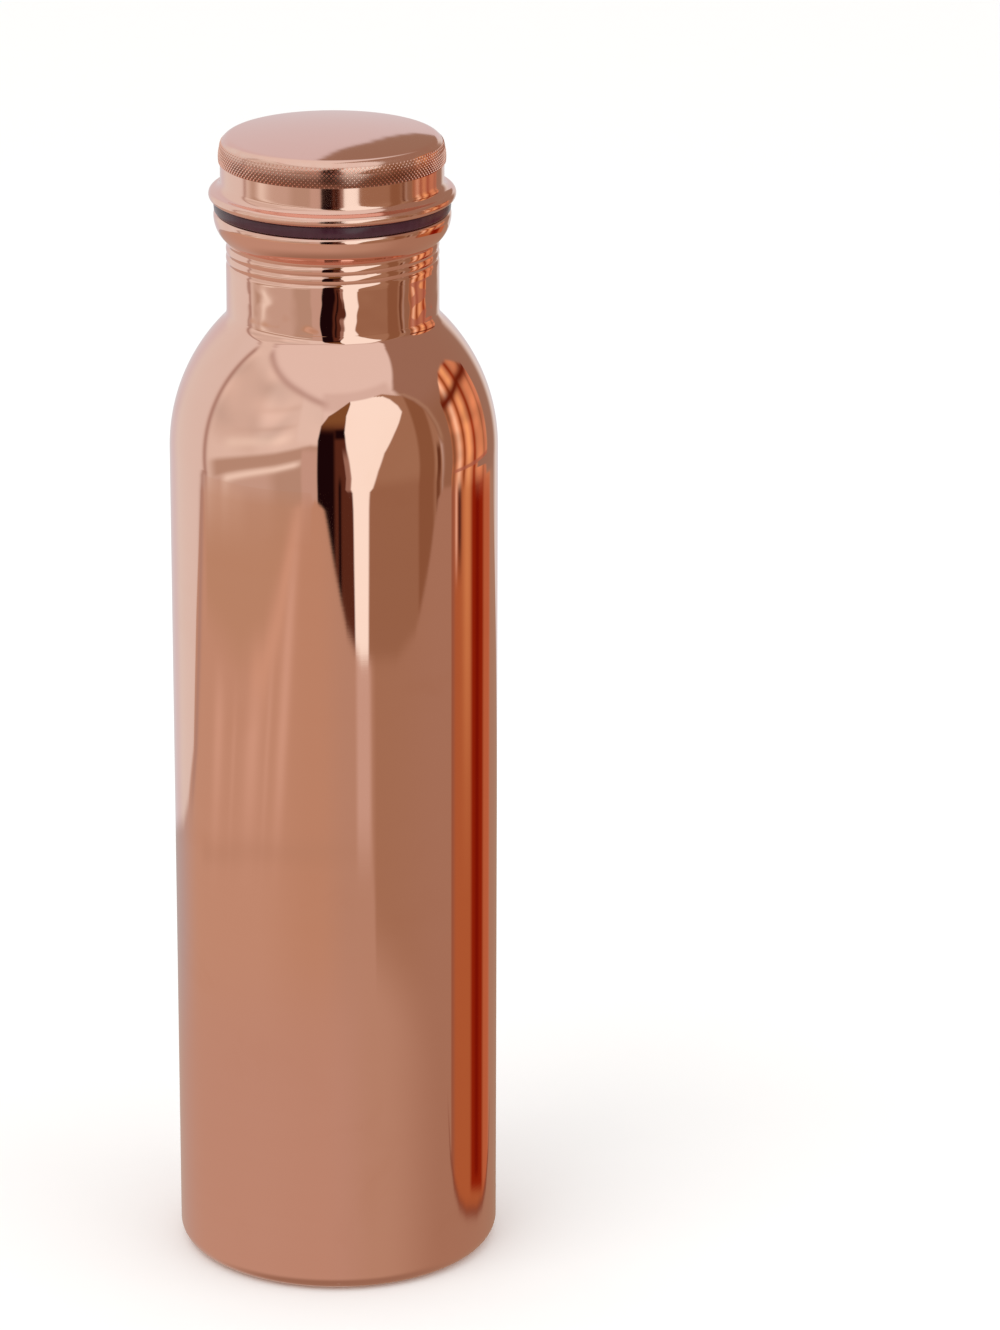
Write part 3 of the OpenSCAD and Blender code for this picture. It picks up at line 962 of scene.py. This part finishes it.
def paintOpening(around, above):
    # what shows through the arched opening: a dark figure, the bright window and the room beyond
    view = np.zeros(around.shape + (3,)) + tent["room"]
    view = paint(view, between(around, 63, 75.5, 3), tent["roomDark"])
    view = paint(view, between(around, 78, 81, 1.5) * (1 - ramp(above, -2, 4)), tent["roomEdge"])
    view = paint(view, 0.4 * (1 - ramp(above, -18, -8)), (0.26, 0.13, 0.07))
    brightEnd = curve(above, [(-19, 25), (-17, 26), (-15, 28.5), (-5, 32), (5, 37), (15, 46.5), (20, 52),
                              (25, 57), (29, 55.5), (34, 51), (37, 46), (38.5, 38)])
    bright = 1 - ramp(around, brightEnd - 0.9, brightEnd + 0.9)
    view = paint(view, bright, tent["window"])
    figureEnd = curve(above, [(-19, 16), (-17, 14.5), (-15, 12.6), (-8, 13), (0, 12), (10, 10.4), (20, 9.4),
                              (30, 11.5), (37, 16)])
    curtain = between(around, figureEnd - 3.2, figureEnd + 0.6, 0.8) * (1 - ramp(above, 2, 12))
    figure = 1 - ramp(around, figureEnd - 0.6, figureEnd + 0.6)
    view = paint(view, figure, tent["figureSide"])
    view = paint(view, figure * (1 - ramp(around, 0.5, 3.5)) * (1 - ramp(above, 18, 26)), tent["figure"])
    view = paint(view, figure * streak(around - 5.5, 1.1) * (1 - ramp(above, -14, -4)), tent["figure"])
    view = paint(view, figure * ramp(above, 20, 28), tent["figureTop"])
    view = paint(view, figure * between(above, 16, 22, 3) * ramp(around, 0, 4), tent["figure"])
    return paint(view, curtain * ramp(above, -17, -15) * 0.8, (0.40, 0.27, 0.21))


def paintWarmWare(around, above):
    ware = np.zeros(around.shape + (3,)) + (0.66, 0.32, 0.16)
    for centre, width, colour in warmStripes:
        ware = paint(ware, streak(around - centre, width), colour)
    bend = sine(above * 17) + 0.6 * sine(above * 41 + around * 3)
    ripples = sine(around * 11 + 60 * bend) * ramp(above, -16, -8)
    ware = ware * (1 + 0.17 * ripples[..., None])
    ware = paint(ware, 0.75 * between(above, -15.3, -14.0, 0.3) * ramp(around, 92, 97), (0.40, 0.16, 0.11))
    band = above - curve(around, [(93, 15.5), (120, 14.5), (133, 10.5)])
    ware = paint(ware, streak(band, 2.6), (0.15, 0.02, 0.006))
    # its lower end, nearer the bottle
    foot = np.zeros(around.shape + (3,)) + (0.44, 0.15, 0.055)
    foot = paint(foot, streak(around - 109, 5) * ramp(above, -21.5, -17.5), (0.64, 0.30, 0.12))
    foot = paint(foot, streak(around - 93, 2.6), (0.33, 0.14, 0.08))
    foot = paint(foot, streak(around - 100.5, 2.2) * ramp(above, -18.3, -17.7), (0.10, 0.03, 0.02))
    foot = paint(foot, streak(around - 97, 1.2) * ramp(above, -18.3, -17.7), (0.80, 0.55, 0.40))
    foot = paint(foot, ramp(around, 128, 136), (0.50, 0.16, 0.07))
    foot = paint(foot, between(around, 114.5, 131.5, 5) * ramp(above, -24.16, -24.06), (0.28, 0.022, 0.004))
    foot = paint(foot, streak(around - 122.5, 3.5) * ramp(above, -24.03, -23.93), (0.20, 0.008, 0.002))
    foot = paint(foot, ramp(around, 140, 149), (0.44, 0.29, 0.20))
    return paint(ware, 1 - ramp(above, -17.4, -16.7), foot)


def paintTable(around, above):
    top = np.zeros(around.shape + (3,)) + tent["table"]
    top = paint(top, ramp(around, -60, -15), (0.53, 0.365, 0.25))
    top = paint(top, ramp(around, -12, 12), (0.495, 0.355, 0.26))
    low = curve(around, [(24, -19.5), (30, -21.6), (80, -22.4), (90, -24)])
    top = paint(top, ramp(around, 25, 31) * ramp(above, low - 0.8, low + 0.4), tent["tableRight"])
    top = paint(top, ramp(around, 30, 85), (0.40, 0.26, 0.18))
    top = paint(top, 1 - ramp(around, -150, -112), tent["tableBack"])
    # shaded cloth on the left, with pale folds that run down from it, and the glow in front of the window
    hem = curve(around, [(-98, -18.5), (-70, -18.95), (-50, -18.75), (-38, -18.2), (-28, -17.5), (-20, -17)])
    left = between(around, -101, -20, 5)
    top = paint(top, 0.85 * left * ramp(above, hem - 0.35, hem + 0.35), (0.505, 0.365, 0.245))
    top = paint(top, 0.7 * left * (1 - ramp(around, -72, -58)) * ramp(above, -17.9, -17), (0.62, 0.50, 0.37))
    hemLight = streak(above - hem + 0.3, 0.3) * between(around, -60, -20, 10)
    top = paint(top, 0.8 * hemLight, (0.65, 0.47, 0.34))
    drift = around - 5 * (above + 20)
    for centre, width, share in ((-92, 5, 0.8), (-61, 6, 0.9), (-38, 4, 0.9), (-77, 2, 0.4), (-49, 2, 0.5)):
        fold = streak(drift - centre, width) * (1 - ramp(above, hem - 0.9, hem - 0.1))
        top = paint(top, share * fold * ramp(above, -21.4, -19.6), (0.66, 0.50, 0.385))
    top = paint(top, 0.35 * streak(above + 20.8, 0.12) * between(around, -110, 20, 10), (0.47, 0.33, 0.23))
    top = paint(top, 0.7 * (1 - ramp(above, -23, -21.5)) * (1 - ramp(around, 0, 30)), (0.535, 0.39, 0.31))
    glow = between(around, 16.5, 26, 4) * between(above, -20.8, -18.5, 0.9)
    return paint(top, 0.75 * glow, (0.64, 0.53, 0.45))


def paintTent(around, above):
    # brightness of the tent by direction: around is degrees from the camera's side, above is degrees up
    turned = around % 360
    colours = np.zeros(around.shape + (3,)) + tent["ceiling"]
    seamLine = curve(around, [(-100, 56), (-85, 52), (-60, 47.5), (-30, 42.5), (-5, 37), (15, 38), (50, 45),
                              (85, 60)])
    onCloth = between(around, -101, -7, 3) * (1 - ramp(above, seamLine - 1.5, seamLine + 1.5))
    colours = paint(colours, onCloth, paintCloth(around, above))
    seamShade = streak(above - seamLine, 2.4) * between(around, -85, -4, 10)
    colours = paint(colours, 0.7 * seamShade, tent["seam"])
    overOpening = between(around, -8, 55, 8) * between(above, 33, 44, 4)
    colours = paint(colours, 0.5 * overOpening, (0.62, 0.56, 0.51))

    # far left and behind
    behind = np.maximum(1 - ramp(around, -106, -100), ramp(around, 152, 166))
    colours = paint(colours, behind * (1 - ramp(above, 35, 60)), tent["sideCard"])
    colours = paint(colours, between(turned, 164, 215, 16) * (1 - ramp(above, 35, 60)), tent["backWall"])
    upright = streak(around + 100, 2.6) * between(above, -18, 45, 6)
    colours = paint(colours, 0.95 * upright, (0.44, 0.345, 0.30))

    # right wall beyond the diagonal, and its far end that only the cap's top sees
    diagonal = curve(above, [(-20, 82), (0, 82), (38, 56), (42, 60), (60, 85), (75, 120)])
    onRight = ramp(around, diagonal - 2, diagonal + 4) * (1 - ramp(around, 150, 162))
    farEnd = curve(above, [(14, 177.5), (18, 178.5), (22, 179.4), (26, 181.2), (30, 182.5), (40, 184)])
    high = between(turned, 150, farEnd, 0.5) * ramp(above, 13.6, 14.6) * (1 - ramp(above, 36, 50))
    colours = paint(colours, np.maximum(onRight, high), tent["rightWall"])
    colours = paint(colours, onRight * 0.7 * (1 - ramp(above, 12, 30)) * (1 - ramp(around, 92, 130)),
                    tent["rightShade"])

    leftEdge = curve(above, [(-19, -10), (15, -10), (24, -8), (30, -2.5), (35, 8), (38.5, 16)])
    rightEdge = curve(above, [(-20, 83), (0, 82), (10, 80), (20, 76), (27, 70), (33, 62), (38.5, 46)])
    foot = curve(around, [(-12, -17.0), (-7, -17.3), (0, -17.9), (10, -18.65), (20, -18.95), (45, -18.95),
                          (60, -18.7), (70, -18.1), (80, -17.3), (84, -17)])
    opening = ramp(around, leftEdge - 0.7, leftEdge + 0.7) * (1 - ramp(around, rightEdge - 1, rightEdge + 1))
    opening = opening * (1 - ramp(above, 38, 39))
    rim = streak(around - rightEdge - 2.4, 1.5) * between(above, 2, 36, 6)
    colours = paint(colours, 0.5 * rim, (0.46, 0.36, 0.25))
    colours = paint(colours, opening, paintOpening(around, above))

    # the table, whose far edge bends round each thing that stands on it
    cardFoot = curve(around, [(-180, -20.6), (-140, -20.5), (-130, -20.3), (-120, -19.8), (-114, -18.5),
                              (-105, -17.1), (-13, -17.1)])
    rightFoot = curve(around, [(84, -17), (150, -17), (180, -20.6)])
    edge = np.where(around < -12, cardFoot, np.where(around < 84, foot, rightFoot))
    soft = 0.12 + 0.8 * between(around, -102, -14, 4)
    table = paintTable(around, above)
    cardSide = curve(above, [(-20.4, -125), (-19.8, -117), (-19, -112), (-18, -107.5), (-17, -104),
                             (-15, -101)])
    seam = streak(around - cardSide, 2.8) * between(above, -20.3, -15, 0.6)
    colours = paint(colours, 1 - ramp(above, edge - soft, edge + soft), table)
    colours = paint(colours, 0.85 * seam, (0.43, 0.33, 0.28))

    # warm copperware beside the bottle, rounded at its lower end
    wareFoot = curve(around, [(88, -23.2), (91, -23.75), (95, -24.05), (101, -24.24), (109, -24.33),
                              (123, -24.33), (132, -24.24), (139, -24.05), (144, -23.75), (149, -23)])
    wareTop = curve(around, [(93, 18), (100, 24), (106, 26), (114, 25), (122, 22), (128, 17), (135, 11),
                             (141, -16)])
    wide = np.where(above < -17, 8, 0)
    slim = 15 * between(above, -16.7, -14.9, 0.4)  # only the neck looks this way, and sees less of it
    ware = ramp(around, 91.3, 92.7) * (1 - ramp(around, 135 + wide - slim, 138.5 + wide - slim))
    ware = ware * ramp(above, wareFoot - 0.05, wareFoot + 0.05) * (1 - ramp(above, wareTop - 1, wareTop + 1))
    outline = streak(above - wareFoot, 0.07) * between(around, 89, 147, 3)
    colours = paint(colours, ware, paintWarmWare(around, above))
    colours = paint(colours, 0.85 * outline, (0.22, 0.07, 0.04))
    return paint(colours, 1 - ramp(above, -70, -38), (0.34, 0.22, 0.155))


def makeTent():
    columns = tent["columns"]
    rows = np.unique(np.concatenate([np.arange(*span) for span in tent["rowSpans"]]))
    around, above = np.meshgrid(np.linspace(-180, 180, columns, endpoint=False), rows)
    level, turn = np.radians(above), np.radians(around)
    x, y, z = np.cos(level) * np.sin(turn), -np.cos(level) * np.cos(turn), np.sin(level)
    middle = (cadBounds[0].z + cadBounds[1].z) / 2
    points = np.stack([x, y, z], -1).reshape(-1, 3) * tent["radius"] + (0, 0, middle)
    here = np.arange(len(rows) - 1)[:, None] * columns + np.arange(columns)[None, :]
    right = np.arange(len(rows) - 1)[:, None] * columns + (np.arange(columns)[None, :] + 1) % columns
    faces = np.stack([here, right, right + columns, here + columns], -1).reshape(-1, 4)
    mesh = bpy.data.meshes.new("lightTent")
    mesh.vertices.add(len(points))
    mesh.vertices.foreach_set("co", points.ravel())
    mesh.loops.add(faces.size)
    mesh.loops.foreach_set("vertex_index", faces.ravel())
    mesh.polygons.add(len(faces))
    mesh.polygons.foreach_set("loop_start", np.arange(0, faces.size, 4))
    mesh.update(calc_edges=True)
    colours = np.ones((len(points), 4), np.float32)
    colours[:, :3] = paintTent(around, above).reshape(-1, 3)
    mesh.attributes.new("tentLight", "FLOAT_COLOR", "POINT").data.foreach_set("color", colours.ravel())
    material = bpy.data.materials.new("tentLight")
    material.use_nodes = True
    tree = material.node_tree
    tree.nodes.clear()
    light = addNode(tree, "ShaderNodeAttribute", attribute_name="tentLight")
    glow = addNode(tree, "ShaderNodeEmission", {"Color": light.outputs["Color"], "Strength": 1.0})
    output = tree.nodes.new("ShaderNodeOutputMaterial")
    tree.links.new(glow.outputs[0], output.inputs["Surface"])
    material.cycles.emission_sampling = "NONE"
    mesh.materials.append(material)
    dome = bpy.data.objects.new("lightTent", mesh)
    scene.collection.objects.link(dome)
    dome.visible_camera = dome.visible_diffuse = dome.visible_shadow = False
    dome.visible_transmission = dome.visible_volume_scatter = False


studio = {"floorSize": 24.0, "floorColour": (0.94, 0.935, 0.93), "world": 1.0, "cameraWorld": 0.935}


def makeStudio(setup):
    half = setup["floorSize"] / 2
    mesh = bpy.data.meshes.new("floor")
    corners = [(-half, -half, 0), (half, -half, 0), (half, half, 0), (-half, half, 0)]
    mesh.from_pydata(corners, [], [(0, 1, 2, 3)])
    floor = bpy.data.objects.new("floor", mesh)
    scene.collection.objects.link(floor)
    material, tree, shader, place = startMaterial("paleFloor")
    specks = times(tree, noise(tree, place, 90.0, 3.0), 0.05)
    tone = mixColour(tree, specks, setup["floorColour"], (0.8, 0.79, 0.78))
    tree.links.new(tone, shader.inputs["Base Color"])
    shader.inputs["Roughness"].default_value = 0.9
    shader.inputs["Specular IOR Level"].default_value = 0.1
    mesh.materials.append(material)
    floor.visible_glossy = False
    world = bpy.data.worlds.new("world")
    world.use_nodes = True
    scene.world = world
    background = world.node_tree.nodes["Background"]
    background.inputs["Color"].default_value = (1, 0.995, 0.985, 1)
    path = world.node_tree.nodes.new("ShaderNodeLightPath").outputs["Is Camera Ray"]
    change = setup["cameraWorld"] - setup["world"]
    strength = calc(world.node_tree, "MULTIPLY_ADD", path, change, setup["world"])
    world.node_tree.links.new(strength, background.inputs["Strength"])
    scene.view_settings.view_transform = "Standard"


lamps = [
    {"name": "keyLamp", "place": (-0.9, -0.9, 1.7), "size": 1.3, "power": 9.0},
    {"name": "fillLamp", "place": (1.2, -0.6, 1.3), "size": 1.4, "power": 4.0},
]


def makeLamp(setup):
    data = bpy.data.lights.new(setup["name"], "AREA")
    data.size = setup["size"]
    data.energy = setup["power"]
    lamp = bpy.data.objects.new(setup["name"], data)
    scene.collection.objects.link(lamp)
    middle = (cadBounds[0] + cadBounds[1]) / 2
    aim = (middle - Vector(setup["place"])).to_track_quat("-Z", "Y").to_matrix().to_4x4()
    lamp.matrix_world = Matrix.Translation(setup["place"]) @ aim
    lamp.visible_glossy = False


makeTent()
makeStudio(studio)
for setup in lamps:
    makeLamp(setup)
print("studio made")
